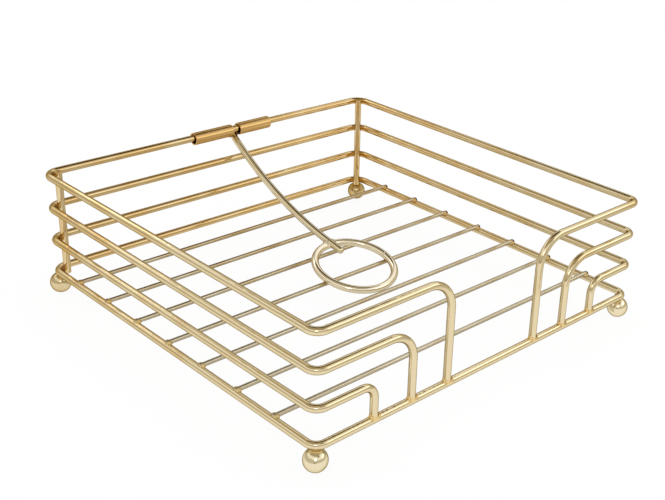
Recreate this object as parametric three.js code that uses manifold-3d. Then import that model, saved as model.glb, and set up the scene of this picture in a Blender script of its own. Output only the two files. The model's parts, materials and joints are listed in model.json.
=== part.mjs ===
// Square napkin tray of welded steel wire with a gold plate. A weight ring on a bowed arm swings
// about the top rail's rear run and holds the napkins down.
// Millimetres, +Z up. The front is towards -Y. The origin is on the table, at the middle of the tray.

import * as THREE from 'three';
import { mergeVertices } from 'three/addons/utils/BufferGeometryUtils.js';
import Module from 'manifold-3d';

// Wire and tube stock
const HEAVY_WIRE = 3.3; // diameter of the base ring, rails, posts and arm
const FLOOR_WIRE = 2.0;
const RING_WIRE = 3.5;
const SLEEVE_DIAMETER = 6;
const SLEEVE_BORE = 4.8;

// Gap left at each weld and running fit
const GAP = 0.3;

// Tray, measured over the wire
const TRAY_WIDTH = 190;
const TRAY_DEPTH = 190;
const FRONT_CORNER_RADIUS = 4.5; // on the wire's centre line
const REAR_CORNER_RADIUS = 6.5;
const RAIL_SPACING = 15.5; // centre to centre, from the base ring up
const FLOOR_WIRE_COUNT = 7;
const FLOOR_WIRE_LAP = 0.6; // past the base ring's centre line
const FLOOR_WELD_SINK = 1.2; // how deep the floor wires are let in over the base ring

// Stepped front: each lower rail drops to the base ring further from the middle
const FRONT_OPENING = 49; // clear width between the top rail's drops
const DROP_STEP = 19.5;
const TOP_DROP_RADIUS = 13;
const MID_DROP_RADIUS = 12;
const LOW_DROP_RADIUS = 6;

// Ball feet
const FOOT_DIAMETER = 9.6;
const FOOT_FLAT = 2.4; // diameter of the flat that stands on the table

// Weight arm, with the ring lying on a floor wire
const ARM_SIDE = 9.3; // how far the arm stands to the right of the middle
const LEFT_SLEEVE_LENGTH = 22.5;
const RIGHT_SLEEVE_LENGTH = 19;
const ARM_REACH = 74.3; // from the hinge forward to the ring's rear edge
const ARM_TIP = 9.2; // arm past the ring's rear edge
const ARM_END_SLOPE = THREE.MathUtils.degToRad(10);
const RING_DIAMETER = 41; // over the wire
const RING_TILT = THREE.MathUtils.degToRad(12.5);
const ARM_WELD_SINK = 2.4; // how deep the arm is let in over the ring

// Facets
const HEAVY_SIDES = 12;
const FLOOR_SIDES = 8;
const BEND_STEPS = 6;
const ARM_STEPS = 12;
const RING_STEPS = 40;
const SLEEVE_SIDES = 20;
const FOOT_SIDES = 20;
const FOOT_STEPS = 9;

// Worked out from the sizes above
const HEAVY_RADIUS = HEAVY_WIRE / 2;
const FLOOR_RADIUS = FLOOR_WIRE / 2;
const HALF_WIDTH = (TRAY_WIDTH - HEAVY_WIRE) / 2;
const HALF_DEPTH = (TRAY_DEPTH - HEAVY_WIRE) / 2;
const FOOT_RADIUS = FOOT_DIAMETER / 2;
const FOOT_HEIGHT = Math.sqrt(FOOT_RADIUS ** 2 - (FOOT_FLAT / 2) ** 2); // from the flat to the ball's middle
const BASE_LEVEL = FOOT_HEIGHT + FOOT_RADIUS + GAP + HEAVY_RADIUS;
const RAIL_LEVELS = [1, 2, 3].map((step) => BASE_LEVEL + step * RAIL_SPACING);
const TOP_LEVEL = RAIL_LEVELS[2];
const FLOOR_LEVEL = BASE_LEVEL + HEAVY_RADIUS + GAP + FLOOR_RADIUS - FLOOR_WELD_SINK;
const TOP_DROP = FRONT_OPENING / 2 + HEAVY_RADIUS;

const BASKET_GOLD = { color: '#d8ae68', metalness: 1, roughness: 0.22 };
const ARM_GOLD = { color: '#dcc08a', metalness: 1, roughness: 0.2 };
const SLEEVE_GOLD = { color: '#cfa04e', metalness: 1, roughness: 0.25 };

const wasm = await Module();
wasm.setup();

function piece(name, geometry, finish) {
  const mesh = new THREE.Mesh(geometry, new THREE.MeshStandardMaterial(finish));
  mesh.name = name;
  return mesh;
}

// A wire's centre line as stations, each a point and the direction the wire runs there.
class CentreLine extends THREE.Curve {
  constructor(stations) {
    super();
    this.stations = stations;
  }

  stationAt(t) {
    return this.stations[Math.round(t * (this.stations.length - 1))];
  }

  getPointAt(t, target = new THREE.Vector3()) {
    return target.copy(this.stationAt(t).point);
  }

  getTangentAt(t, target = new THREE.Vector3()) {
    return target.copy(this.stationAt(t).direction);
  }
}

// The stations of one bend, round the corner between two straight runs.
function bendStations(before, corner, after, radius) {
  const inward = corner.clone().sub(before).normalize();
  const outward = after.clone().sub(corner).normalize();
  const turn = inward.angleTo(outward);
  const side = outward.clone().addScaledVector(inward, -Math.cos(turn)).normalize();
  const start = corner.clone().addScaledVector(inward, -radius * Math.tan(turn / 2));
  const stations = [];
  for (let step = 0; step <= BEND_STEPS; step += 1) {
    const angle = (turn * step) / BEND_STEPS;
    const point = start.clone();
    point.addScaledVector(inward, radius * Math.sin(angle));
    point.addScaledVector(side, radius * (1 - Math.cos(angle)));
    const direction = inward.clone().multiplyScalar(Math.cos(angle));
    direction.addScaledVector(side, Math.sin(angle));
    stations.push({ point, direction });
  }
  return stations;
}

// Straight runs through the corner points, with each inner corner bent to its own radius.
function bentStations(corners, radii) {
  const first = corners[0];
  const last = corners[corners.length - 1];
  const stations = [{ point: first, direction: corners[1].clone().sub(first).normalize() }];
  radii.forEach((radius, index) => {
    stations.push(...bendStations(corners[index], corners[index + 1], corners[index + 2], radius));
  });
  stations.push({ point: last, direction: last.clone().sub(corners[corners.length - 2]).normalize() });
  return stations;
}

function roundSection(diameter, sides) {
  const points = [];
  for (let side = 0; side < sides; side += 1) {
    const angle = (2 * Math.PI * side) / sides;
    points.push(new THREE.Vector2(Math.cos(angle), Math.sin(angle)).multiplyScalar(diameter / 2));
  }
  return new THREE.Shape(points);
}

function wire(stations, diameter, sides) {
  return new THREE.ExtrudeGeometry(roundSection(diameter, sides), {
    steps: stations.length - 1,
    extrudePath: new CentreLine(stations),
  });
}

function straightWire(start, end, diameter, sides) {
  return wire(bentStations([start, end], []), diameter, sides);
}

// A wire whose two ends meet: the end faces are left out and the walls join up.
function closedWire(stations, diameter, sides) {
  const geometry = wire(stations, diameter, sides);
  const walls = geometry.groups[1];
  const { array, itemSize } = geometry.attributes.position;
  const kept = array.slice(walls.start * itemSize, (walls.start + walls.count) * itemSize);
  const loop = new THREE.BufferGeometry();
  loop.setAttribute('position', new THREE.BufferAttribute(kept, itemSize));
  return mergeVertices(loop);
}

function toSolid(geometry) {
  const bare = geometry.clone();
  bare.deleteAttribute('normal');
  bare.deleteAttribute('uv');
  const merged = mergeVertices(bare);
  return new wasm.Manifold(
    new wasm.Mesh({
      numProp: 3,
      vertProperties: new Float32Array(merged.attributes.position.array),
      triVerts: new Uint32Array(merged.index.array),
    }),
  );
}

function toGeometry(solid) {
  const mesh = solid.getMesh();
  const geometry = new THREE.BufferGeometry();
  geometry.setAttribute('position', new THREE.BufferAttribute(mesh.vertProperties, mesh.numProp));
  geometry.setIndex(new THREE.BufferAttribute(mesh.triVerts, 1));
  return geometry;
}

// The square base ring, bent from one wire and closed at the middle of the back.
function baseRing() {
  const seam = new THREE.Vector3(0, HALF_DEPTH, 0);
  const corners = [
    seam,
    new THREE.Vector3(HALF_WIDTH, HALF_DEPTH, 0),
    new THREE.Vector3(HALF_WIDTH, -HALF_DEPTH, 0),
    new THREE.Vector3(-HALF_WIDTH, -HALF_DEPTH, 0),
    new THREE.Vector3(-HALF_WIDTH, HALF_DEPTH, 0),
    seam,
  ];
  const radii = [REAR_CORNER_RADIUS, FRONT_CORNER_RADIUS, FRONT_CORNER_RADIUS, REAR_CORNER_RADIUS];
  const stations = bentStations(corners, radii);
  const ring = piece('base_ring', closedWire(stations, HEAVY_WIRE, HEAVY_SIDES), BASKET_GOLD);
  ring.position.z = BASE_LEVEL;
  return ring;
}

// One rail: up from the base ring's front, out to the corner, round the tray and down again.
function rail(name, level, drop, dropRadius) {
  const landing = BASE_LEVEL + HEAVY_RADIUS + GAP;
  const corners = [
    new THREE.Vector3(-drop, -HALF_DEPTH, landing),
    new THREE.Vector3(-drop, -HALF_DEPTH, level),
    new THREE.Vector3(-HALF_WIDTH, -HALF_DEPTH, level),
    new THREE.Vector3(-HALF_WIDTH, HALF_DEPTH, level),
    new THREE.Vector3(HALF_WIDTH, HALF_DEPTH, level),
    new THREE.Vector3(HALF_WIDTH, -HALF_DEPTH, level),
    new THREE.Vector3(drop, -HALF_DEPTH, level),
    new THREE.Vector3(drop, -HALF_DEPTH, landing),
  ];
  const leftRadii = [dropRadius, FRONT_CORNER_RADIUS, REAR_CORNER_RADIUS];
  const radii = [...leftRadii, ...leftRadii.toReversed()];
  return piece(name, wire(bentStations(corners, radii), HEAVY_WIRE, HEAVY_SIDES), BASKET_GOLD);
}

function rails() {
  return [
    rail('rail_low', RAIL_LEVELS[0], TOP_DROP + 2 * DROP_STEP, LOW_DROP_RADIUS),
    rail('rail_mid', RAIL_LEVELS[1], TOP_DROP + DROP_STEP, MID_DROP_RADIUS),
    rail('rail_top', RAIL_LEVELS[2], TOP_DROP, TOP_DROP_RADIUS),
  ];
}

// How far back each floor wire lies, evenly spaced from the front.
function floorWirePlaces() {
  const spacing = (2 * HALF_DEPTH) / (FLOOR_WIRE_COUNT + 1);
  const places = [];
  for (let number = 1; number <= FLOOR_WIRE_COUNT; number += 1) {
    places.push(-HALF_DEPTH + number * spacing);
  }
  return places;
}

// Thin wires from side to side on the base ring, numbered from the front. Each is let in where it
// crosses the ring.
function floorWires() {
  const reach = HALF_WIDTH + FLOOR_WIRE_LAP;
  const saddles = [-HALF_WIDTH, HALF_WIDTH].map((side) => {
    const front = new THREE.Vector3(side, -HALF_DEPTH, BASE_LEVEL);
    const back = new THREE.Vector3(side, HALF_DEPTH, BASE_LEVEL);
    return toSolid(straightWire(front, back, HEAVY_WIRE + 2 * GAP, HEAVY_SIDES));
  });
  return floorWirePlaces().map((place, index) => {
    const start = new THREE.Vector3(-reach, place, FLOOR_LEVEL);
    const end = new THREE.Vector3(reach, place, FLOOR_LEVEL);
    const bar = toSolid(straightWire(start, end, FLOOR_WIRE, FLOOR_SIDES));
    const letIn = saddles.reduce((rest, saddle) => rest.subtract(saddle), bar);
    return piece(`floor_wire_${index + 1}`, toGeometry(letIn), BASKET_GOLD);
  });
}

// Where a point on a rear corner's diagonal lies, by its distance from the bend's own centre.
function cornerPlace(fromBendCentre) {
  const along = fromBendCentre * Math.SQRT1_2 - REAR_CORNER_RADIUS;
  return { x: HALF_WIDTH + along, y: HALF_DEPTH + along };
}

// Upright wires that stand inside the bends of the rear corners.
function posts() {
  const place = cornerPlace(REAR_CORNER_RADIUS - HEAVY_WIRE - GAP);
  return [['post_left', -1], ['post_right', 1]].map(([name, side]) => {
    const bottom = new THREE.Vector3(side * place.x, place.y, BASE_LEVEL - HEAVY_RADIUS);
    const top = new THREE.Vector3(side * place.x, place.y, TOP_LEVEL + HEAVY_RADIUS);
    return piece(name, straightWire(bottom, top, HEAVY_WIRE, HEAVY_SIDES), BASKET_GOLD);
  });
}

// A ball under each corner of the base ring, with a small flat to stand on. The four stand on one
// square, set out by the rear bends.
function feet() {
  const flatAngle = Math.asin(FOOT_FLAT / FOOT_DIAMETER);
  const profile = [new THREE.Vector2(0, -FOOT_HEIGHT)];
  for (let step = 0; step <= FOOT_STEPS; step += 1) {
    const angle = flatAngle + ((Math.PI - flatAngle) * step) / FOOT_STEPS;
    const reach = step === FOOT_STEPS ? 0 : FOOT_RADIUS * Math.sin(angle);
    profile.push(new THREE.Vector2(reach, -FOOT_RADIUS * Math.cos(angle)));
  }
  const place = cornerPlace(REAR_CORNER_RADIUS);
  const corners = [
    ['foot_front_left', -1, -1],
    ['foot_front_right', 1, -1],
    ['foot_rear_left', -1, 1],
    ['foot_rear_right', 1, 1],
  ];
  return corners.map(([name, sideX, sideY]) => {
    const foot = piece(name, new THREE.LatheGeometry(profile, FOOT_SIDES), BASKET_GOLD);
    foot.rotation.x = Math.PI / 2;
    foot.position.set(sideX * place.x, sideY * place.y, FOOT_HEIGHT);
    return foot;
  });
}

// The two tubes that turn on the rail. They hang on it, so their middle lies a little below the rail's.
function sleeves() {
  const bore = SLEEVE_BORE / 2;
  const outside = SLEEVE_DIAMETER / 2;
  const hang = bore - HEAVY_RADIUS - GAP;
  const sides = [
    ['sleeve_left', -1, LEFT_SLEEVE_LENGTH],
    ['sleeve_right', 1, RIGHT_SLEEVE_LENGTH],
  ];
  return sides.map(([name, side, length]) => {
    const half = length / 2;
    const profile = [
      new THREE.Vector2(bore, -half),
      new THREE.Vector2(outside, -half),
      new THREE.Vector2(outside, half),
      new THREE.Vector2(bore, half),
      new THREE.Vector2(bore, -half),
    ];
    const sleeve = piece(name, new THREE.LatheGeometry(profile, SLEEVE_SIDES), SLEEVE_GOLD);
    sleeve.rotation.z = Math.PI / 2;
    sleeve.position.set(side * (HEAVY_RADIUS + GAP + half), 0, -hang);
    return sleeve;
  });
}

// The ring, hinge at the origin: its rear edge is one arm's reach ahead of the hinge. It leans forward,
// so it lies on the frontmost floor wire that it reaches.
function weightRing() {
  const radius = (RING_DIAMETER - RING_WIRE) / 2;
  const geometry = new THREE.TorusGeometry(radius, RING_WIRE / 2, HEAVY_SIDES, RING_STEPS);
  const ring = piece('weight_ring', geometry, ARM_GOLD);
  const forward = -ARM_REACH - radius * Math.cos(RING_TILT);
  const middle = HALF_DEPTH + forward;
  const clear = FLOOR_RADIUS + GAP + RING_WIRE / 2;
  const front = middle - radius * Math.cos(RING_TILT) - clear;
  const seat = floorWirePlaces().find((place) => place > front);
  const lift = clear / Math.cos(RING_TILT) + (middle - seat) * Math.tan(RING_TILT);
  const height = FLOOR_LEVEL - TOP_LEVEL + lift;
  ring.rotation.x = RING_TILT;
  ring.position.set(0, forward, height);
  ring.updateMatrix();
  return ring;
}

// The arm, hinge at the origin: one arc from under the rail to the ring's rear edge, then a straight
// tip. It is let in where it crosses the ring.
function armBar(ring) {
  const { radius } = ring.geometry.parameters;
  const rear = new THREE.Vector3(0, radius, 0).applyMatrix4(ring.matrix);
  const above = (HEAVY_WIRE + RING_WIRE) / 2 + GAP - ARM_WELD_SINK;
  const end = rear.clone();
  end.y -= above * Math.sin(RING_TILT);
  end.z += above * Math.cos(RING_TILT);
  // The arc leaves square below the rail, so its centre lies on the line from there through the hinge.
  const under = HEAVY_WIRE + GAP;
  const inward = (slope) => new THREE.Vector3(0, -Math.sin(slope), Math.cos(slope));
  const endward = inward(ARM_END_SLOPE);
  const bow = (under ** 2 - end.lengthSq()) / (2 * (end.dot(endward) + under));
  const centre = end.clone().addScaledVector(endward, bow);
  const startSlope = Math.atan2(-centre.y, centre.z);
  const run = (slope) => new THREE.Vector3(0, -Math.cos(slope), -Math.sin(slope));
  const stations = [];
  for (let step = 0; step <= ARM_STEPS; step += 1) {
    const slope = startSlope + ((ARM_END_SLOPE - startSlope) * step) / ARM_STEPS;
    const point = centre.clone().addScaledVector(inward(slope), -bow);
    stations.push({ point, direction: run(slope) });
  }
  const tip = end.clone().addScaledVector(run(ARM_END_SLOPE), ARM_TIP);
  stations.push({ point: tip, direction: run(ARM_END_SLOPE) });

  const saddle = new THREE.TorusGeometry(radius, RING_WIRE / 2 + GAP, HEAVY_SIDES, RING_STEPS);
  saddle.applyMatrix4(ring.matrix);
  const bar = toSolid(wire(stations, HEAVY_WIRE, HEAVY_SIDES)).subtract(toSolid(saddle));
  return piece('arm_bar', toGeometry(bar), ARM_GOLD);
}

// Everything that swings, about the top rail's rear run.
function weightArm() {
  const arm = new THREE.Group();
  arm.position.set(ARM_SIDE, HALF_DEPTH, TOP_LEVEL);
  const ring = weightRing();
  arm.add(...sleeves(), armBar(ring), ring);
  return arm;
}

const napkinHolder = new THREE.Group();
napkinHolder.add(baseRing(), ...rails(), ...floorWires(), ...posts(), ...feet(), weightArm());

export default napkinHolder;
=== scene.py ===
# The looks of a square napkin tray of gold-plated steel wire, with a weight ring on a swinging arm.
# Metres, +Z up, in the frame of the built part. Sizes are read off that frame or named below.

import json
import math

import bmesh
import bpy
from mathutils import Matrix, Vector


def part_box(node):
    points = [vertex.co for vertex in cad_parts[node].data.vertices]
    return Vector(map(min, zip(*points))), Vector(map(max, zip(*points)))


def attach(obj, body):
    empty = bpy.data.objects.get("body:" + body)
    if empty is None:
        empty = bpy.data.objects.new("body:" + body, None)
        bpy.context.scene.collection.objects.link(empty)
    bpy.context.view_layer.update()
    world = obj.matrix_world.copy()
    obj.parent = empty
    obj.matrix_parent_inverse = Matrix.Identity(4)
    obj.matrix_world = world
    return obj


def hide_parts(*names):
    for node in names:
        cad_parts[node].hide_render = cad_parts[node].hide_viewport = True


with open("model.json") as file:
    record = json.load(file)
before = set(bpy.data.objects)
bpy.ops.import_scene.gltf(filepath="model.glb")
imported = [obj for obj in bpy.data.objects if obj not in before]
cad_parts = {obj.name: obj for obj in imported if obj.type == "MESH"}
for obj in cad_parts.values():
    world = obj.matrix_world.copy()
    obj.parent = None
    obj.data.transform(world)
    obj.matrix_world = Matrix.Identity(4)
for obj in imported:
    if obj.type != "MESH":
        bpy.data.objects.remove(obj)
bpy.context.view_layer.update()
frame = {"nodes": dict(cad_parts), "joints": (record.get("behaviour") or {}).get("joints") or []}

MM = 0.001
X_AXIS, Z_AXIS = 0, 2
UP = Vector((0, 0, 1))
FULL_SIZE = (1, 1, 1)
RAILS = ("rail_low", "rail_mid", "rail_top")
FLOOR_WIRES = sorted(name for name in frame["nodes"] if name.startswith("floor_wire_"))
FEET = ("foot_front_left", "foot_front_right", "foot_rear_left", "foot_rear_right")
POSTS = ("post_left", "post_right")
SLEEVES = ("sleeve_left", "sleeve_right")

# Tray sizes that the nodes' boxes don't give
FRONT_CORNER_RADIUS = 4.5 * MM  # on the wire's centre line
REAR_CORNER_RADIUS = 6.5 * MM
FRONT_OPENING = 49 * MM  # clear width between the top rail's drops
DROP_STEP = 19.5 * MM
DROP_RADII = {"rail_low": 6 * MM, "rail_mid": 12 * MM, "rail_top": 13 * MM}
FOOT_FLAT = 2.4 * MM
SLEEVE_BORE = 4.8 * MM

# Weight arm sizes that the nodes' boxes don't give
RING_WIRE = 3.5 * MM
RING_TILT = math.radians(12.5)
WELD_GAP = 0.3 * MM  # between the solids at a weld
WELD_SINK = 2.4 * MM  # how deep the arm is let in over the ring
ARM_END_SLOPE = math.radians(10)
ARM_TIP = 9.2 * MM  # arm past the ring's rear edge

# Cut ends, rims and welds
CUT_ROUND = 0.35 * MM  # edge of a sheared wire
TIP_ROUND = 1.45 * MM  # domed tip of the arm
RIM_ROUND = 0.22 * MM  # edge of a cut tube
WELD_WAIST = 0.72  # a weld's neck, as a share of its foot
WELD_UNEVEN = 0.12 * MM
WELD_LUMP = 1.2 * MM  # length of the lumps that make a weld uneven
FOOT_NECK = Vector((1.9, 1.9, 0.9)) * MM  # a neck's half sizes: across, across and along
POST_NECK = Vector((1.45, 1.45, 0.9)) * MM
ARM_NECK = Vector((1.2, 1.2, 0.6)) * MM
FLOOR_BEAD = Vector((1.5, 2.0, 1.05)) * MM  # a bead's half sizes, where a floor wire crosses the base ring
FLOOR_BEAD_INSET = 0.7 * MM  # in from the base ring's centre line
# A dark bead of painted shade, in half sizes:
RIGHT_END_SHADE_BEAD = Vector((0.9, 1.35, 1.0)) * MM  # over the right end of a floor wire
RING_BEAD = Vector((3.6, 3.0, 1.9)) * MM  # where the arm crosses the ring
DROP_LEG = 1.2 * MM  # fillet where a drop stands on the base ring
DROP_PROUD = 0.03 * MM  # plate over that fillet, proud of the wire
DROP_SHOULDER = 0.97  # how far down the base ring's side that fillet reaches, as a share of its radius

# Smoothness
WIRE_SIDES = 32
BEND_STEPS = 20
ROUND_STEPS = 6
ARM_STEPS = 48
RING_STEPS = 120
TURNED_SIDES = 64
LEAD = 0.5 * MM  # straight bit beside each bend, so that long runs shade as straight ones

# Camera at the photograph's angle, in pixels of its 665 by 500 frame where it says so
FRAME_WIDTH = 665
FOCAL_PIXELS = 1104.7
AXIS_PIXELS = 425  # where the lens axis meets the frame, from the left
SENSOR_WIDTH = 36  # millimetres
CAMERA_PLACE = Vector((-303.53, -342.57, 242.42)) * MM
CAMERA_AZIMUTH = -46.318  # degrees from the front, positive to the right, as in the studio
CAMERA_ELEVATION = 25.004
CAMERA_ROLL = 3.176
CAMERA_CLIP = 10 * MM

# The studio, in metres and degrees. Its cloths, felts and flags are glowing sheets, no lamps, that only the
# bright metal mirrors: painted reflections.
SOFTBOXES = (  # name, azimuth, elevation, distance, width, height, brightness
    ("key_softbox", 40, 30, 0.5, 0.35, 0.12, 1.1),
    ("back_softbox", 186, 38, 0.8, 0.3, 0.12, 1.1),
    ("camera_softbox", -46, 30, 0.8, 0.2, 0.16, 3.0),
)
WALLS = (  # name, radius, foot, top, colour
    ("wall", 0.9, 0.0, 0.46, "#cdc8bc"),
)
CEILINGS = (  # name, shift to the right, shift to the back, radius, height, colour
    ("ceiling", -0.08, 0.12, 0.78, 0.95, "#b0a48c"),
    ("ceiling_core", 0.36, 0.34, 0.37, 0.94, "#281e12"),
)
FELTS = (  # name, left, front, right, rear, colour
    # A dim sheet under the tray, which only the metal sees: painted shade for the shadowed floor inside the
    # tray.
    ("tray_felt", -0.083, -0.094, 0.083, 0.085, "#d4d0c4"),
    ("front_felt", 0.0, -0.9, 0.9, -0.17, "#d8d4ca"),
)
FLAGS = (  # name, azimuth, elevation, distance, width, height, colour
    ("back_flag", 155, 35, 0.85, 0.3, 0.35, "#cdc8bc"),
    ("low_flag", -46, 4, 0.85, 0.3, 0.08, "#2c2216"),
    ("high_flag", -2, 50, 0.8, 0.3, 0.1, "#2c2216"),
)
FELT_HEIGHT = 0.3 * MM
CLOTH_SIDES = 64
TABLE_HALF = 3.0
TABLE_GLOW = 0.92  # share of pure white where the table shows; the rest keeps the shadow


def linear(code):
    """A colour written as an sRGB hex code, as linear RGBA."""
    channels = [int(code[place:place + 2], 16) / 255 for place in (1, 3, 5)]
    return [c / 12.92 if c <= 0.04045 else ((c + 0.055) / 1.055) ** 2.4 for c in channels] + [1.0]


def node(tree, kind, links=None, **settings):
    """One node with its settings; links gives each input a value or another node's output."""
    made = tree.nodes.new(kind)
    for name, value in settings.items():
        setattr(made, name, value)
    for socket, value in (links or {}).items():
        if isinstance(value, bpy.types.NodeSocket):
            tree.links.new(value, made.inputs[socket])
        else:
            made.inputs[socket].default_value = value
    return made


# Materials

HALF_TRAY = 95 * MM
# Towards the back the plate turns warmer and darker; the darkening is painted shade, as the back of the
# tray is lit less.
WARMTH_AND_SHADE_LEAN = Vector((0.15, 0.45, 0)) / HALF_TRAY  # how the plate's warmth grows to the right and the back
PLATE_DRIFT = 25 * MM  # from a warmer place in the plate to a paler one
WARMTH_AND_SHADE_STOPS = (0.25, 1.0)  # where the front colour ends and where the rear one is reached
DIE_LINE_PITCH = 0.5 * MM  # real die lines are finer; these are as coarse as they need to be to show
DIE_LINE_STRETCH = 0.03  # a die line's width, as a share of its length
DIE_LINE_DEPTH = 0.002 * MM
FAINT_LINE_DEPTH = 0.0004 * MM  # on metal that wasn't drawn
RIPPLE_LENGTH = 6 * MM
WIRE_RIPPLE = 0.1 * MM
TUBE_RIPPLE = 0.02 * MM
BALL_RIPPLE = 0.4 * MM
WELD_RIPPLE = 0.2 * MM
NOISE_SPAN = {"From Min": 0.3, "From Max": 0.7}  # where nearly all of a noise's values lie
NOISE_MIDDLE = 0.5


def gold_plate(name, front, rear, edge, polish, ripple=WIRE_RIPPLE, grain=DIE_LINE_DEPTH):
    """Bright gold electroplate on steel: a mirror that shows the drawn or pressed metal under it."""
    material = bpy.data.materials.new(name)
    material.use_nodes = True
    tree = material.node_tree
    shader = tree.nodes["Principled BSDF"]
    shader.inputs["Metallic"].default_value = 1.0
    shader.inputs["Specular Tint"].default_value = linear(edge)
    place = node(tree, "ShaderNodeAttribute", attribute_name="along_wire").outputs["Vector"]

    # The plate turns warmer and darker towards the back and the right, the darkening a painted shade, and
    # drifts besides.
    whole_tray = node(tree, "ShaderNodeTexCoord").outputs["Object"]
    lean = node(tree, "ShaderNodeVectorMath", {0: whole_tray, 1: WARMTH_AND_SHADE_LEAN}, operation="DOT_PRODUCT")
    cloud = node(tree, "ShaderNodeTexNoise", {"Vector": place, "Scale": 1 / PLATE_DRIFT, "Detail": 2.0})
    drift = node(tree, "ShaderNodeMapRange", {"Value": cloud.outputs["Fac"], **NOISE_SPAN})
    warmth_and_shade = node(tree, "ShaderNodeMath", {0: lean.outputs["Value"], 1: drift.outputs["Result"]})
    tint = node(tree, "ShaderNodeValToRGB", {"Fac": warmth_and_shade.outputs["Value"]})
    for stop, position, colour in zip(tint.color_ramp.elements, WARMTH_AND_SHADE_STOPS, (front, rear)):
        stop.position = position
        stop.color = linear(colour)
    tree.links.new(tint.outputs["Color"], shader.inputs["Base Color"])

    # Die lines run along the wire, the brighter ones polished and the others a little dull.
    stretch = node(tree, "ShaderNodeMapping", {"Vector": place, "Scale": (1, 1, DIE_LINE_STRETCH)})
    lines = node(tree, "ShaderNodeTexNoise", {
        "Vector": stretch.outputs["Vector"], "Scale": 1 / DIE_LINE_PITCH})
    dull = node(tree, "ShaderNodeMapRange", {
        "Value": lines.outputs["Fac"], **NOISE_SPAN, "To Min": polish[0], "To Max": polish[1]})
    tree.links.new(dull.outputs["Result"], shader.inputs["Roughness"])

    # The steel under the plate is never quite straight: long low ripples bend the reflections.
    swell = node(tree, "ShaderNodeTexNoise", {"Vector": place, "Scale": 1 / RIPPLE_LENGTH, "Detail": 1.0})
    waves = node(tree, "ShaderNodeBump", {"Height": swell.outputs["Fac"], "Distance": ripple})
    fine = node(tree, "ShaderNodeBump", {"Height": lines.outputs["Fac"], "Distance": grain})
    tree.links.new(waves.outputs["Normal"], fine.inputs["Normal"])
    tree.links.new(fine.outputs["Normal"], shader.inputs["Normal"])
    return material


# Drawn wire under bright plate: pale champagne gold, warmer and darker to the back, the darkening a painted
# shade, with the die's lines along it.
WIRE_GOLD = gold_plate(
    "gold_plate_on_drawn_wire", "#e6d5ae", "#d8b880", "#a08e64", (0.06, 0.14))
# The thin floor wires at the bottom of the tray: greyer and not as bright.
FLOOR_GOLD = gold_plate(
    "grey_gold_plate_on_floor_wire", "#cec4ac", "#bea67c", "#8c7c58", (0.16, 0.28))
# The arm comes from another bath: a paler, greener gold.
ARM_GOLD = gold_plate(
    "pale_gold_plate_on_drawn_wire", "#f2e8cc", "#e8d8b2", "#6a5632", (0.06, 0.12))
# The ring's pale plate, pushed nearly to white by a painted sheen: the palest and brightest plate of all.
RING_GOLD_AND_SHEEN = gold_plate(
    "pale_gold_plate_on_ring_with_painted_sheen", "#fcf2da", "#f8eace", "#b4a078", (0.05, 0.1))
# Seamed tube takes the plate a little redder and duller than wire does.
SLEEVE_GOLD = gold_plate(
    "gold_plate_on_cut_tube", "#deba80", "#dcb474", "#8c6a3c", (0.22, 0.26), TUBE_RIPPLE, FAINT_LINE_DEPTH)
# Tumbled steel balls are faintly dimpled and a little satin: soft, broken reflections. Their much darker
# rear colour is painted shade on the rear feet.
FOOT_GOLD = gold_plate(
    "gold_plate_on_tumbled_balls", "#eee0bc", "#c0a05e", "#8c7c54", (0.12, 0.22),
    BALL_RIPPLE, FAINT_LINE_DEPTH)
# Over a weld the plate is thick and uneven: deeper in colour, and not as bright. Towards the back it turns
# far deeper, the post welds' own tone together with painted shade.
WELD_GOLD = gold_plate(
    "gold_plate_over_welds", "#f2d294", "#a8662a", "#8a6030", (0.18, 0.32), WELD_RIPPLE)
# The beads under the floor wires are bright and yellow: a painted glint, as those on the left catch the
# light.
GLINT_BEAD_GOLD = gold_plate(
    "gold_plate_with_painted_glint_over_floor_welds", "#fae2a8", "#ecc074", "#a07838", (0.1, 0.2), WELD_RIPPLE)
# At the floor wires' right ends, dark brown and dull: painted shade, where those ends face away from the
# light.
RIGHT_END_SHADE_GOLD = gold_plate(
    "thin_gold_plate_over_scorched_welds", "#6c4422", "#5c381a", "#3c2612", (0.25, 0.4), WELD_RIPPLE)


# Node trees that sweep wires and set out repeated shapes

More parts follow.
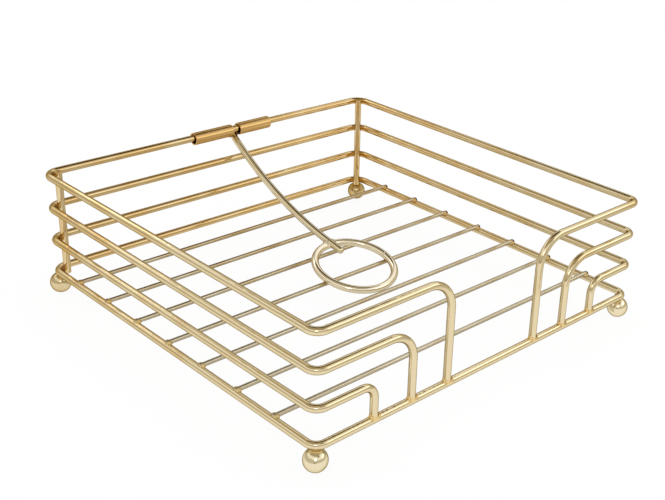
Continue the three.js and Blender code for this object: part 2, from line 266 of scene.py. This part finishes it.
def swept_wire_tree():
    """Sweeps a round wire along each chain of edges, and notes each point's place along and around it."""
    tree = bpy.data.node_groups.new("swept wire", "GeometryNodeTree")
    tree.interface.new_socket("Path", in_out="INPUT", socket_type="NodeSocketGeometry")
    tree.interface.new_socket("Wire Diameter", in_out="INPUT", socket_type="NodeSocketFloat")
    tree.interface.new_socket("Sides", in_out="INPUT", socket_type="NodeSocketInt")
    tree.interface.new_socket("Finish", in_out="INPUT", socket_type="NodeSocketMaterial")
    tree.interface.new_socket("Wire", in_out="OUTPUT", socket_type="NodeSocketGeometry")
    given = node(tree, "NodeGroupInput").outputs
    kind = {"data_type": "FLOAT_VECTOR", "domain": "POINT"}

    line = node(tree, "GeometryNodeMeshToCurve", {"Mesh": given["Path"]})
    run = node(tree, "GeometryNodeSplineParameter")
    along = node(tree, "ShaderNodeCombineXYZ", {"Z": run.outputs["Length"]})
    line = node(tree, "GeometryNodeStoreNamedAttribute", {
        "Geometry": line.outputs["Curve"], "Name": "along", "Value": along.outputs["Vector"]}, **kind)

    radius = node(tree, "ShaderNodeMath", {0: given["Wire Diameter"], 1: 2.0}, operation="DIVIDE")
    section = node(tree, "GeometryNodeCurvePrimitiveCircle", {
        "Resolution": given["Sides"], "Radius": radius.outputs["Value"]})
    position = node(tree, "GeometryNodeInputPosition")
    section = node(tree, "GeometryNodeStoreNamedAttribute", {
        "Geometry": section.outputs["Curve"], "Name": "around",
        "Value": position.outputs["Position"]}, **kind)

    swell = node(tree, "GeometryNodeInputNamedAttribute", {"Name": "swell"}, data_type="FLOAT")
    wall = node(tree, "GeometryNodeCurveToMesh", {
        "Curve": line.outputs["Geometry"], "Profile Curve": section.outputs["Geometry"],
        "Scale": swell.outputs["Attribute"], "Fill Caps": True})
    along = node(tree, "GeometryNodeInputNamedAttribute", {"Name": "along"}, data_type="FLOAT_VECTOR")
    around = node(tree, "GeometryNodeInputNamedAttribute", {"Name": "around"}, data_type="FLOAT_VECTOR")
    place = node(tree, "ShaderNodeVectorMath", {
        0: along.outputs["Attribute"], 1: around.outputs["Attribute"]})
    wall = node(tree, "GeometryNodeStoreNamedAttribute", {
        "Geometry": wall.outputs["Mesh"], "Name": "along_wire", "Value": place.outputs["Vector"]}, **kind)
    for spare in ("along", "around", "swell"):
        wall = node(tree, "GeometryNodeRemoveAttribute", {
            "Geometry": wall.outputs["Geometry"], "Name": spare})
    wall = node(tree, "GeometryNodeSetShadeSmooth", {"Geometry": wall.outputs["Geometry"]})
    wall = node(tree, "GeometryNodeRealizeInstances", {"Geometry": wall.outputs["Geometry"]})
    wall = node(tree, "GeometryNodeSetMaterial", {
        "Geometry": wall.outputs["Geometry"], "Material": given["Finish"]})
    node(tree, "NodeGroupOutput", {"Wire": wall.outputs["Geometry"]})
    return tree


def set_out_tree():
    """Sets copies of one shape out on points, each with its own turn and size, a little uneven."""
    tree = bpy.data.node_groups.new("set out", "GeometryNodeTree")
    tree.interface.new_socket("Points", in_out="INPUT", socket_type="NodeSocketGeometry")
    tree.interface.new_socket("Shape", in_out="INPUT", socket_type="NodeSocketObject")
    tree.interface.new_socket("Unevenness", in_out="INPUT", socket_type="NodeSocketFloat")
    tree.interface.new_socket("Finish", in_out="INPUT", socket_type="NodeSocketMaterial")
    tree.interface.new_socket("Copies", in_out="OUTPUT", socket_type="NodeSocketGeometry")
    given = node(tree, "NodeGroupInput").outputs

    shape = node(tree, "GeometryNodeObjectInfo", {"Object": given["Shape"]})
    turn = node(tree, "GeometryNodeInputNamedAttribute", {"Name": "turn"}, data_type="FLOAT_VECTOR")
    turn = node(tree, "FunctionNodeEulerToRotation", {"Euler": turn.outputs["Attribute"]})
    size = node(tree, "GeometryNodeInputNamedAttribute", {"Name": "size"}, data_type="FLOAT_VECTOR")
    copies = node(tree, "GeometryNodeInstanceOnPoints", {
        "Points": given["Points"], "Instance": shape.outputs["Geometry"],
        "Rotation": turn.outputs["Rotation"], "Scale": size.outputs["Attribute"]})
    copies = node(tree, "GeometryNodeRealizeInstances", {"Geometry": copies.outputs["Instances"]})

    lumps = node(tree, "ShaderNodeTexNoise", {"Scale": 1 / WELD_LUMP, "Detail": 1.0})
    lumps = node(tree, "ShaderNodeMath", {0: lumps.outputs["Fac"], 1: NOISE_MIDDLE}, operation="SUBTRACT")
    lumps = node(tree, "ShaderNodeMath", {
        0: lumps.outputs["Value"], 1: given["Unevenness"]}, operation="MULTIPLY")
    normal = node(tree, "GeometryNodeInputNormal")
    shift = node(tree, "ShaderNodeVectorMath", {
        0: normal.outputs["Normal"], "Scale": lumps.outputs["Value"]}, operation="SCALE")
    copies = node(tree, "GeometryNodeSetPosition", {
        "Geometry": copies.outputs["Geometry"], "Offset": shift.outputs["Vector"]})
    copies = node(tree, "GeometryNodeSetMaterial", {
        "Geometry": copies.outputs["Geometry"], "Material": given["Finish"]})
    node(tree, "NodeGroupOutput", {"Copies": copies.outputs["Geometry"]})
    return tree


SWEPT_WIRE = swept_wire_tree()
SET_OUT = set_out_tree()


def grown(name, mesh, tree, values):
    """The piece that a tree makes from a mesh, turned to a plain mesh."""
    piece = bpy.data.objects.new(name, mesh)
    bpy.context.scene.collection.objects.link(piece)
    modifier = piece.modifiers.new(tree.name, "NODES")
    modifier.node_group = tree
    for socket in tree.interface.items_tree:
        if socket.in_out == "INPUT" and socket.name in values:
            modifier[socket.identifier] = values[socket.name]
    graph = bpy.context.evaluated_depsgraph_get()
    plain = bpy.data.meshes.new_from_object(piece.evaluated_get(graph), depsgraph=graph)
    piece.modifiers.remove(modifier)
    piece.data = plain
    return piece


def swept_wires(name, paths, diameter, finish, closed=False):
    """One piece of one or more wires; a path is stations, each a point and a share of the full size."""
    points, swells, edges = [], [], []
    for path in paths:
        first = len(points)
        points += [point for point, swell in path]
        swells += [swell for point, swell in path]
        edges += [(place, place + 1) for place in range(first, len(points) - 1)]
        if closed:
            edges.append((len(points) - 1, first))
    mesh = bpy.data.meshes.new(name)
    mesh.from_pydata(points, edges, [])
    mesh.attributes.new("swell", "FLOAT", "POINT").data.foreach_set("value", swells)
    values = {"Wire Diameter": diameter, "Sides": WIRE_SIDES, "Finish": finish}
    return grown(name, mesh, SWEPT_WIRE, values)


def set_out(name, shape, places, finish, unevenness=0.0):
    """One piece of copies of a shape; a place is a point, the direction its Z axis turns to, and a size."""
    points = [point for point, direction, size in places]
    turns = [direction.to_track_quat("Z", "Y").to_euler() for point, direction, size in places]
    mesh = bpy.data.meshes.new(name)
    mesh.from_pydata(points, [], [])
    for attribute, vectors in (("turn", turns), ("size", [size for point, direction, size in places])):
        flat = [number for vector in vectors for number in vector]
        mesh.attributes.new(attribute, "FLOAT_VECTOR", "POINT").data.foreach_set("vector", flat)
    pattern = bpy.data.objects.new(name + "_shape", shape)
    bpy.context.scene.collection.objects.link(pattern)
    piece = grown(name, mesh, SET_OUT, {"Shape": pattern, "Unevenness": unevenness, "Finish": finish})
    bpy.data.objects.remove(pattern)
    return piece


# Paths

def bend(before, corner, after, radius, steps=BEND_STEPS):
    """Points round one bend between two straight runs."""
    inward = (corner - before).normalized()
    outward = (after - corner).normalized()
    turn = inward.angle(outward)
    side = (outward - inward * math.cos(turn)).normalized()
    start = corner - inward * (radius * math.tan(turn / 2))
    points = []
    for step in range(steps + 1):
        angle = turn * step / steps
        points.append(start + inward * (radius * math.sin(angle)) + side * (radius * (1 - math.cos(angle))))
    return [start - inward * LEAD] + points + [points[-1] + outward * LEAD]


def bent_path(corners, radii):
    """Straight runs through the corners, with each inner corner bent to its own radius."""
    path = [corners[0]]
    for before, corner, after, radius in zip(corners, corners[1:], corners[2:], radii):
        path += bend(before, corner, after, radius)
    return path + [corners[-1]]


def whole(path):
    """Stations of a path that is at its full size all along."""
    return [(point, 1.0) for point in path]


def end_stations(end, inner, radius, rounding):
    """Stations from a wire's cut end to its full size, with the edge rounded over."""
    direction = (inner - end).normalized()
    stations = []
    for step in range(ROUND_STEPS + 1):
        angle = math.pi / 2 * step / ROUND_STEPS
        depth = rounding * (1 - math.cos(angle))
        stations.append((end + direction * depth, 1 - rounding * (1 - math.sin(angle)) / radius))
    return stations + [(end + direction * (rounding + LEAD), 1.0)]


def cut_path(path, radius, first_round=CUT_ROUND, last_round=CUT_ROUND):
    """Stations of a path whose two ends are cut and rounded over."""
    first = end_stations(path[0], path[1], radius, first_round)
    last = end_stations(path[-1], path[-2], radius, last_round)
    return first + whole(path[1:-1]) + last[::-1]


# Turned shapes

def turned(name, profile, closed=False):
    """A mesh turned about Z; its profile, of radii and heights, ends on the axis or closes on itself."""
    build = bmesh.new()
    rings = []
    for radius, height in profile:
        sides = TURNED_SIDES if radius else 1
        ring = []
        for side in range(sides):
            angle = 2 * math.pi * side / sides
            ring.append(build.verts.new((radius * math.cos(angle), radius * math.sin(angle), height)))
        rings.append(ring)
    for lower, upper in zip(rings, rings[1:] + (rings[:1] if closed else [])):
        for side in range(TURNED_SIDES):
            pair = (side, (side + 1) % TURNED_SIDES)
            corners = [lower[place % len(lower)] for place in pair]
            corners += [upper[place % len(upper)] for place in reversed(pair)]
            build.faces.new(list(dict.fromkeys(corners)))  # a corner on the axis counts once
    return finished(name, build)


def finished(name, build):
    """A smooth mesh from a bmesh, which keeps its own place as the finish's place."""
    bmesh.ops.recalc_face_normals(build, faces=build.faces)
    for face in build.faces:
        face.smooth = True
    mesh = bpy.data.meshes.new(name)
    build.to_mesh(mesh)
    build.free()
    place = [number for vertex in mesh.vertices for number in vertex.co]
    mesh.attributes.new("along_wire", "FLOAT_VECTOR", "POINT").data.foreach_set("vector", place)
    return mesh


# Where things are

BASE_LOW, BASE_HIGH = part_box("base_ring")
WIRE = BASE_HIGH.z - BASE_LOW.z
HALF_WIDTH = BASE_HIGH.x - WIRE / 2
HALF_DEPTH = BASE_HIGH.y - WIRE / 2
BASE_LEVEL = BASE_LOW.z + WIRE / 2
RAIL_LEVELS = {name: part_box(name)[1].z - WIRE / 2 for name in RAILS}
FLOOR_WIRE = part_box(FLOOR_WIRES[0])[1].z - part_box(FLOOR_WIRES[0])[0].z
HINGE = Vector(next(joint for joint in frame["joints"] if joint["name"] == "arm_swing")["pos_m"])


def middle(name):
    low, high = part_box(name)
    return (low + high) / 2


CORNER_RADII = (FRONT_CORNER_RADIUS, REAR_CORNER_RADIUS, REAR_CORNER_RADIUS, FRONT_CORNER_RADIUS)


def corner_points(level):
    """The tray's four corners at one level, from the front left round the back to the front right."""
    sides = ((-1, -1), (-1, 1), (1, 1), (1, -1))
    return [Vector((x * HALF_WIDTH, y * HALF_DEPTH, level)) for x, y in sides]


# The tray

def base_ring():
    corners = corner_points(BASE_LEVEL)
    path = []
    for place, (corner, radius) in enumerate(zip(corners, CORNER_RADII)):
        path += bend(corners[place - 1], corner, corners[(place + 1) % len(corners)], radius)
    return swept_wires("base_ring_wire", [whole(path)], WIRE, WIRE_GOLD, closed=True)


def drop_reach(name):
    """How far from the middle a rail drops to the base ring."""
    return FRONT_OPENING / 2 + WIRE / 2 + DROP_STEP * (len(RAILS) - 1 - RAILS.index(name))


def rail(name):
    """One rail, with its two drops let into the base ring where they are welded on."""
    level = RAIL_LEVELS[name]
    reach = drop_reach(name)
    left = [Vector((-reach, -HALF_DEPTH, BASE_LEVEL)), Vector((-reach, -HALF_DEPTH, level))]
    right = [Vector((reach, -HALF_DEPTH, level)), Vector((reach, -HALF_DEPTH, BASE_LEVEL))]
    corners = left + corner_points(level) + right
    radii = (DROP_RADII[name], *CORNER_RADII, DROP_RADII[name])
    return swept_wires(name + "_wire", [whole(bent_path(corners, radii))], WIRE, WIRE_GOLD)


def straight_wires(piece, names, axis, diameter, finish):
    """Straight cut wires, each down the middle of its node's box."""
    paths = []
    for name in names:
        ends = []
        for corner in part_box(name):
            end = middle(name)
            end[axis] = corner[axis]
            ends.append(end)
        paths.append(cut_path(ends, diameter / 2))
    return swept_wires(piece, paths, diameter, finish)


def feet():
    """Ball feet, each with its small flat."""
    low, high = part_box(FEET[0])
    flat = FOOT_FLAT / 2
    height = high.z - low.z
    radius = (flat ** 2 + height ** 2) / (2 * height)
    start = math.asin(flat / radius)
    profile = [(0.0, radius - height)]
    for step in range(TURNED_SIDES // 2):
        angle = start + (math.pi - start) * step / (TURNED_SIDES // 2)
        profile.append((radius * math.sin(angle), -radius * math.cos(angle)))
    ball = turned("ball", profile + [(0.0, radius)])
    places = []
    for name in FEET:
        centre = middle(name)
        places.append((Vector((centre.x, centre.y, high.z - radius)), UP, FULL_SIZE))
    return set_out("ball_feet", ball, places, FOOT_GOLD)


# Welds

def weld_neck():
    """A weld's squeezed-out collar, one unit to its foot and to each end, waisted in the middle."""
    steps = 2 * ROUND_STEPS
    heights = [2 * step / steps - 1 for step in range(steps + 1)]
    profile = [(WELD_WAIST + (1 - WELD_WAIST) * height ** 2, height) for height in heights]
    return turned("weld_neck", [(0.0, -1.0)] + profile + [(0.0, 1.0)])


def weld_bead():
    """A weld's bead where two wires cross, one unit to each side."""
    angles = [math.pi * step / (2 * ROUND_STEPS) for step in range(1, 2 * ROUND_STEPS)]
    profile = [(math.sin(angle), -math.cos(angle)) for angle in angles]
    return turned("weld_bead", [(0.0, -1.0)] + profile + [(0.0, 1.0)])


def on_base_ring(out, reach, radius):
    """The point on top of a base ring along X that lies at a reach from the origin in a level direction."""
    shoulder = DROP_SHOULDER * radius
    sideways = max(-shoulder, min(shoulder, reach * out.y))
    return Vector((reach * out.x, sideways, math.sqrt(radius ** 2 - sideways ** 2)))


def drop_fillet():
    """The fillet round a drop, over a base ring that runs along X with its middle at the origin."""
    radius = WIRE / 2 + DROP_PROUD
    build = bmesh.new()
    rings = []
    for side in range(TURNED_SIDES):
        angle = 2 * math.pi * side / TURNED_SIDES
        out = Vector((math.cos(angle), math.sin(angle), 0))
        corner = on_base_ring(out, radius, radius)
        top = out * radius + Vector((0, 0, corner.z + DROP_LEG))
        foot = on_base_ring(out, radius + DROP_LEG, radius)
        ring = [out * (radius / 2) + Vector((0, 0, top.z))]
        for step in range(ROUND_STEPS + 1):
            share = step / ROUND_STEPS
            ring.append(top * (1 - share) ** 2 + corner * (2 * share * (1 - share)) + foot * share ** 2)
        ring.append(out * (radius / 2))
        rings.append([build.verts.new(point) for point in ring])
    for place, ring in enumerate(rings):
        beside = rings[place - 1]
        for step in range(len(ring) - 1):
            build.faces.new((ring[step], ring[step + 1], beside[step + 1], beside[step]))
    for end in (0, -1):
        build.faces.new([ring[end] for ring in rings])
    return finished("drop_fillet", build)


def floor_welds(bead):
    """Where the floor wires cross the base ring."""
    places = []
    for name in FLOOR_WIRES:
        for side in (-1, 1):
            point = Vector((side * (HALF_WIDTH - FLOOR_BEAD_INSET), middle(name).y, BASE_HIGH.z))
            places.append((point, UP, FLOOR_BEAD))
    # Their bright yellow plate is a painted glint.
    return set_out("floor_welds", bead, places, GLINT_BEAD_GOLD, WELD_UNEVEN)


def scorched_welds(bead):
    """Dark beads of painted shade over the floor wires' right ends."""
    places = []
    for name in FLOOR_WIRES:
        centre = middle(name)
        places.append((Vector((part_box(name)[1].x, centre.y, centre.z)), UP, RIGHT_END_SHADE_BEAD))
    return set_out("scorched_welds", bead, places, RIGHT_END_SHADE_GOLD, WELD_UNEVEN)


def tray_welds(neck):
    """Where the posts and feet are welded to the base ring and rails."""
    places = []
    for name in FEET:
        centre = middle(name)
        point = Vector((centre.x, centre.y, (BASE_LOW.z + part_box(name)[1].z) / 2))
        places.append((point, UP, FOOT_NECK))
    for name in POSTS:
        centre = middle(name)
        outward = Vector((math.copysign(1, centre.x), 1, 0)).normalized()
        for level in [BASE_LEVEL, *RAIL_LEVELS.values()]:
            point = Vector((centre.x, centre.y, level)) + outward * (WIRE / 2)
            places.append((point, outward, POST_NECK))
    return set_out("tray_welds", neck, places, WELD_GOLD, WELD_UNEVEN)


def drop_welds():
    """The fillets where the rails' drops stand on the base ring."""
    places = []
    for name in RAILS:
        for side in (-1, 1):
            point = Vector((side * drop_reach(name), -HALF_DEPTH, BASE_LEVEL))
            places.append((point, UP, FULL_SIZE))
    return set_out("drop_welds", drop_fillet(), places, WELD_GOLD)


# The weight arm

RING_CENTRE = middle("weight_ring")
RING_RADIUS = (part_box("weight_ring")[1].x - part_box("weight_ring")[0].x - RING_WIRE) / 2
RING_BACK = Vector((0, math.cos(RING_TILT), math.sin(RING_TILT)))
RING_UP = Vector((0, -math.sin(RING_TILT), math.cos(RING_TILT)))
CROSSING = RING_CENTRE + RING_BACK * RING_RADIUS
ARM_UNDER = WIRE + WELD_GAP  # from the hinge down to the arm's root
ARM_OVER = (WIRE + RING_WIRE) / 2 + WELD_GAP - WELD_SINK  # from the ring's centre line up to the arm's


def weight_ring():
    path = []
    for step in range(RING_STEPS):
        angle = 2 * math.pi * step / RING_STEPS
        sideways = Vector((RING_RADIUS * math.cos(angle), 0, 0))
        path.append(RING_CENTRE + sideways + RING_BACK * (RING_RADIUS * math.sin(angle)))
    return swept_wires("weight_ring_wire", [whole(path)], RING_WIRE, RING_GOLD_AND_SHEEN, closed=True)


def arm_path():
    """One arc from under the rail to the ring's rear edge, then a straight tip."""
    end = CROSSING + RING_UP * ARM_OVER - HINGE
    endward = Vector((0, -math.sin(ARM_END_SLOPE), math.cos(ARM_END_SLOPE)))
    bow = (ARM_UNDER ** 2 - end.length_squared) / (2 * (end.dot(endward) + ARM_UNDER))
    centre = end + endward * bow
    start_slope = math.atan2(-centre.y, centre.z)
    path = []
    for step in range(ARM_STEPS + 1):
        slope = start_slope + (ARM_END_SLOPE - start_slope) * step / ARM_STEPS
        path.append(HINGE + centre - Vector((0, -math.sin(slope), math.cos(slope))) * bow)
    return path + [path[-1] + Vector((0, -math.cos(ARM_END_SLOPE), -math.sin(ARM_END_SLOPE))) * ARM_TIP]


def arm_bar(path):
    stations = cut_path(path, WIRE / 2, CUT_ROUND, TIP_ROUND)
    return swept_wires("arm_wire", [stations], WIRE, ARM_GOLD)


def arm_welds(neck, path):
    """The arm's welds to the sleeves beside its root."""
    root = (path[0] + path[1]) / 2
    places = []
    for side in (-1, 1):
        direction = Vector((side, 0, 0))
        places.append((root + direction * (WIRE / 2), direction, ARM_NECK))
    return set_out("arm_welds", neck, places, WELD_GOLD, WELD_UNEVEN)


def ring_weld(bead):
    """The bead where the arm lies on the ring."""
    touch = CROSSING + RING_UP * (ARM_OVER / 2)
    return set_out("ring_weld", bead, [(touch, RING_UP, RING_BEAD)], RING_GOLD_AND_SHEEN, WELD_UNEVEN)


def sleeve(name):
    """One of the two tubes that turn and slide on the rail."""
    low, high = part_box(name)
    outside = (high.z - low.z) / 2
    half = (high.x - low.x) / 2
    bore = SLEEVE_BORE / 2
    section = ((bore, -half), (outside, -half), (outside, half), (bore, half))
    corners = [Vector((radius, 0, height)) for radius, height in section]
    profile = []
    for place, corner in enumerate(corners):
        before, after = corners[place - 1], corners[(place + 1) % len(corners)]
        rim = bend(before, corner, after, RIM_ROUND, ROUND_STEPS)
        # On the thin rim face there is no room for a lead.
        rim = [point for point in rim if abs(point.z) <= half and bore <= point.x <= outside]
        profile += [(point.x, point.z) for point in rim]
    tube = turned("tube", profile, closed=True)
    place = (middle(name), Vector((1, 0, 0)), FULL_SIZE)
    return set_out(name + "_tube", tube, [place], SLEEVE_GOLD)


def dress(piece, body, slot, *nodes):
    """Hands a finished piece to its body and hides the nodes that it stands for. The slot is not used."""
    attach(piece, body)
    if nodes:
        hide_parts(*nodes)


# The studio

SQUARE = ((-1, -1), (1, -1), (1, 1), (-1, 1))


def white_studio():
    """A plain white world, which shows as white."""
    world = bpy.data.worlds.new("white_studio")
    bpy.context.scene.world = world
    world.use_nodes = True
    world.node_tree.nodes["Background"].inputs["Color"].default_value = linear("#ffffff")


def seen_rays(tree):
    """One for rays that show the background: straight, mirrored or let through."""
    path = node(tree, "ShaderNodeLightPath").outputs
    either = node(tree, "ShaderNodeMath", {
        0: path["Is Camera Ray"], 1: path["Is Glossy Ray"]}, operation="MAXIMUM")
    return node(tree, "ShaderNodeMath", {
        0: either.outputs["Value"], 1: path["Is Transmission Ray"]}, operation="MAXIMUM").outputs["Value"]


def floor():
    """A white table top, which keeps a faint shadow."""
    mesh = bpy.data.meshes.new("table_top")
    mesh.from_pydata([(x * TABLE_HALF, y * TABLE_HALF, 0) for x, y in SQUARE], [], [(0, 1, 2, 3)])
    top = bpy.data.objects.new("table_top", mesh)
    bpy.context.scene.collection.objects.link(top)
    material = bpy.data.materials.new("white_table_laminate")
    material.use_nodes = True
    tree = material.node_tree
    tree.nodes.remove(tree.nodes["Principled BSDF"])
    matt = node(tree, "ShaderNodeBsdfDiffuse", {"Color": linear("#fcfcfa")})
    glow = node(tree, "ShaderNodeEmission", {"Color": linear("#ffffff"), "Strength": 1.0})
    share = node(tree, "ShaderNodeMath", {0: seen_rays(tree), 1: TABLE_GLOW}, operation="MULTIPLY")
    mixed = node(tree, "ShaderNodeMixShader", {
        0: share.outputs["Value"], 1: matt.outputs["BSDF"], 2: glow.outputs["Emission"]})
    tree.links.new(mixed.outputs["Shader"], tree.nodes["Material Output"].inputs["Surface"])
    mesh.materials.append(material)


def around(azimuth, elevation, distance):
    """A place round the tray, by the side it is seen from."""
    turn, rise = math.radians(azimuth), math.radians(elevation)
    flat = Vector((math.sin(turn), -math.cos(turn), 0)) * math.cos(rise)
    return (flat + Vector((0, 0, math.sin(rise)))) * distance


def facing_tray(place):
    """The turn of a card or lamp at a place, towards the tray."""
    return place.to_track_quat("Z", "Y").to_matrix().to_4x4()


def softbox(name, azimuth, elevation, distance, width, height, glow):
    lamp = bpy.data.lights.new(name, "AREA")
    lamp.shape = "RECTANGLE"
    lamp.size = width
    lamp.size_y = height
    lamp.energy = glow * math.pi * width * height
    place = around(azimuth, elevation, distance)
    box = bpy.data.objects.new(name, lamp)
    box.matrix_world = Matrix.Translation(place) @ facing_tray(place)
    box.visible_camera = False
    bpy.context.scene.collection.objects.link(box)


def cloth(name, points, faces, colour):
    """Glowing sheets round the set, which no lamp lights and only the metal sees: painted reflections for
    the darker parts of each reflection.
    """
    mesh = bpy.data.meshes.new(name)
    mesh.from_pydata(points, [], faces)
    hung = bpy.data.objects.new(name, mesh)
    bpy.context.scene.collection.objects.link(hung)
    material = bpy.data.materials.new(name + "_cloth")
    material.use_nodes = True
    tree = material.node_tree
    tree.nodes.remove(tree.nodes["Principled BSDF"])
    glow = node(tree, "ShaderNodeEmission", {"Color": linear(colour), "Strength": 1.0})
    tree.links.new(glow.outputs["Emission"], tree.nodes["Material Output"].inputs["Surface"])
    mesh.materials.append(material)
    hung.visible_camera = False
    hung.visible_diffuse = False
    hung.visible_shadow = False


def circle(radius, height):
    angles = [2 * math.pi * step / CLOTH_SIDES for step in range(CLOTH_SIDES)]
    return [(radius * math.cos(angle), radius * math.sin(angle), height) for angle in angles]


def cloth_wall(name, radius, low, high, colour):
    points = circle(radius, low) + circle(radius, high)
    faces = []
    for step in range(CLOTH_SIDES):
        beside = (step + 1) % CLOTH_SIDES
        faces.append((step, beside, beside + CLOTH_SIDES, step + CLOTH_SIDES))
    cloth(name, points, faces, colour)


def cloth_ceiling(name, right, back, radius, height, colour):
    points = [(x + right, y + back, z) for x, y, z in circle(radius, height)]
    cloth(name, points, [tuple(range(CLOTH_SIDES))], colour)


def floor_cloth(name, left, front, right, rear, colour):
    corners = ((left, front), (right, front), (right, rear), (left, rear))
    cloth(name, [(x, y, FELT_HEIGHT) for x, y in corners], [(0, 1, 2, 3)], colour)


def flag(name, azimuth, elevation, distance, width, height, colour):
    place = around(azimuth, elevation, distance)
    turn = Matrix.Translation(place) @ facing_tray(place)
    points = [turn @ Vector((x * width / 2, y * height / 2, 0)) for x, y in SQUARE]
    cloth(name, points, [(0, 1, 2, 3)], colour)


def camera():
    lens = bpy.data.cameras.new("photograph_angle")
    lens.sensor_fit = "HORIZONTAL"
    lens.sensor_width = SENSOR_WIDTH
    lens.lens = FOCAL_PIXELS * SENSOR_WIDTH / FRAME_WIDTH
    lens.shift_x = 0.5 - AXIS_PIXELS / FRAME_WIDTH
    lens.clip_start = CAMERA_CLIP
    back = around(CAMERA_AZIMUTH, CAMERA_ELEVATION, 1.0)
    side = math.radians(CAMERA_AZIMUTH)
    right = Vector((math.cos(side), math.sin(side), 0))
    turn = Matrix((right, back.cross(right), back)).transposed().to_4x4()
    roll = Matrix.Rotation(math.radians(CAMERA_ROLL), 4, "Z")
    eye = bpy.data.objects.new("photograph_angle", lens)
    eye.matrix_world = Matrix.Translation(CAMERA_PLACE) @ turn @ roll
    bpy.context.scene.collection.objects.link(eye)
    bpy.context.scene.camera = eye


camera()
neck = weld_neck()
bead = weld_bead()
dress(base_ring(), "basket", "gold_wire", "base_ring")
for rail_name in RAILS:
    dress(rail(rail_name), "basket", "gold_wire", rail_name)
floor_wires = straight_wires("floor_wires", FLOOR_WIRES, X_AXIS, FLOOR_WIRE, FLOOR_GOLD)
dress(floor_wires, "basket", "gold_wire", *FLOOR_WIRES)
dress(straight_wires("posts", POSTS, Z_AXIS, WIRE, WIRE_GOLD), "basket", "gold_wire", *POSTS)
dress(feet(), "basket", "gold_wire", *FEET)
dress(floor_welds(bead), "basket", "gold_wire")
dress(scorched_welds(bead), "basket", "gold_wire")
dress(tray_welds(neck), "basket", "gold_wire")
dress(drop_welds(), "basket", "gold_wire")
for sleeve_name in SLEEVES:
    dress(sleeve(sleeve_name), "sleeves", "gold_sleeve", sleeve_name)
path = arm_path()
dress(weight_ring(), "arm", "gold_arm", "weight_ring")
dress(arm_bar(path), "arm", "gold_arm", "arm_bar")
dress(arm_welds(neck, path), "arm", "gold_arm")
dress(ring_weld(bead), "arm", "gold_arm")

white_studio()
floor()
for row in SOFTBOXES:
    softbox(*row)
for row in WALLS:
    cloth_wall(*row)
for row in CEILINGS:
    cloth_ceiling(*row)
for row in FELTS:
    floor_cloth(*row)
for row in FLAGS:
    flag(*row)

bpy.context.scene.view_settings.view_transform = "Standard"
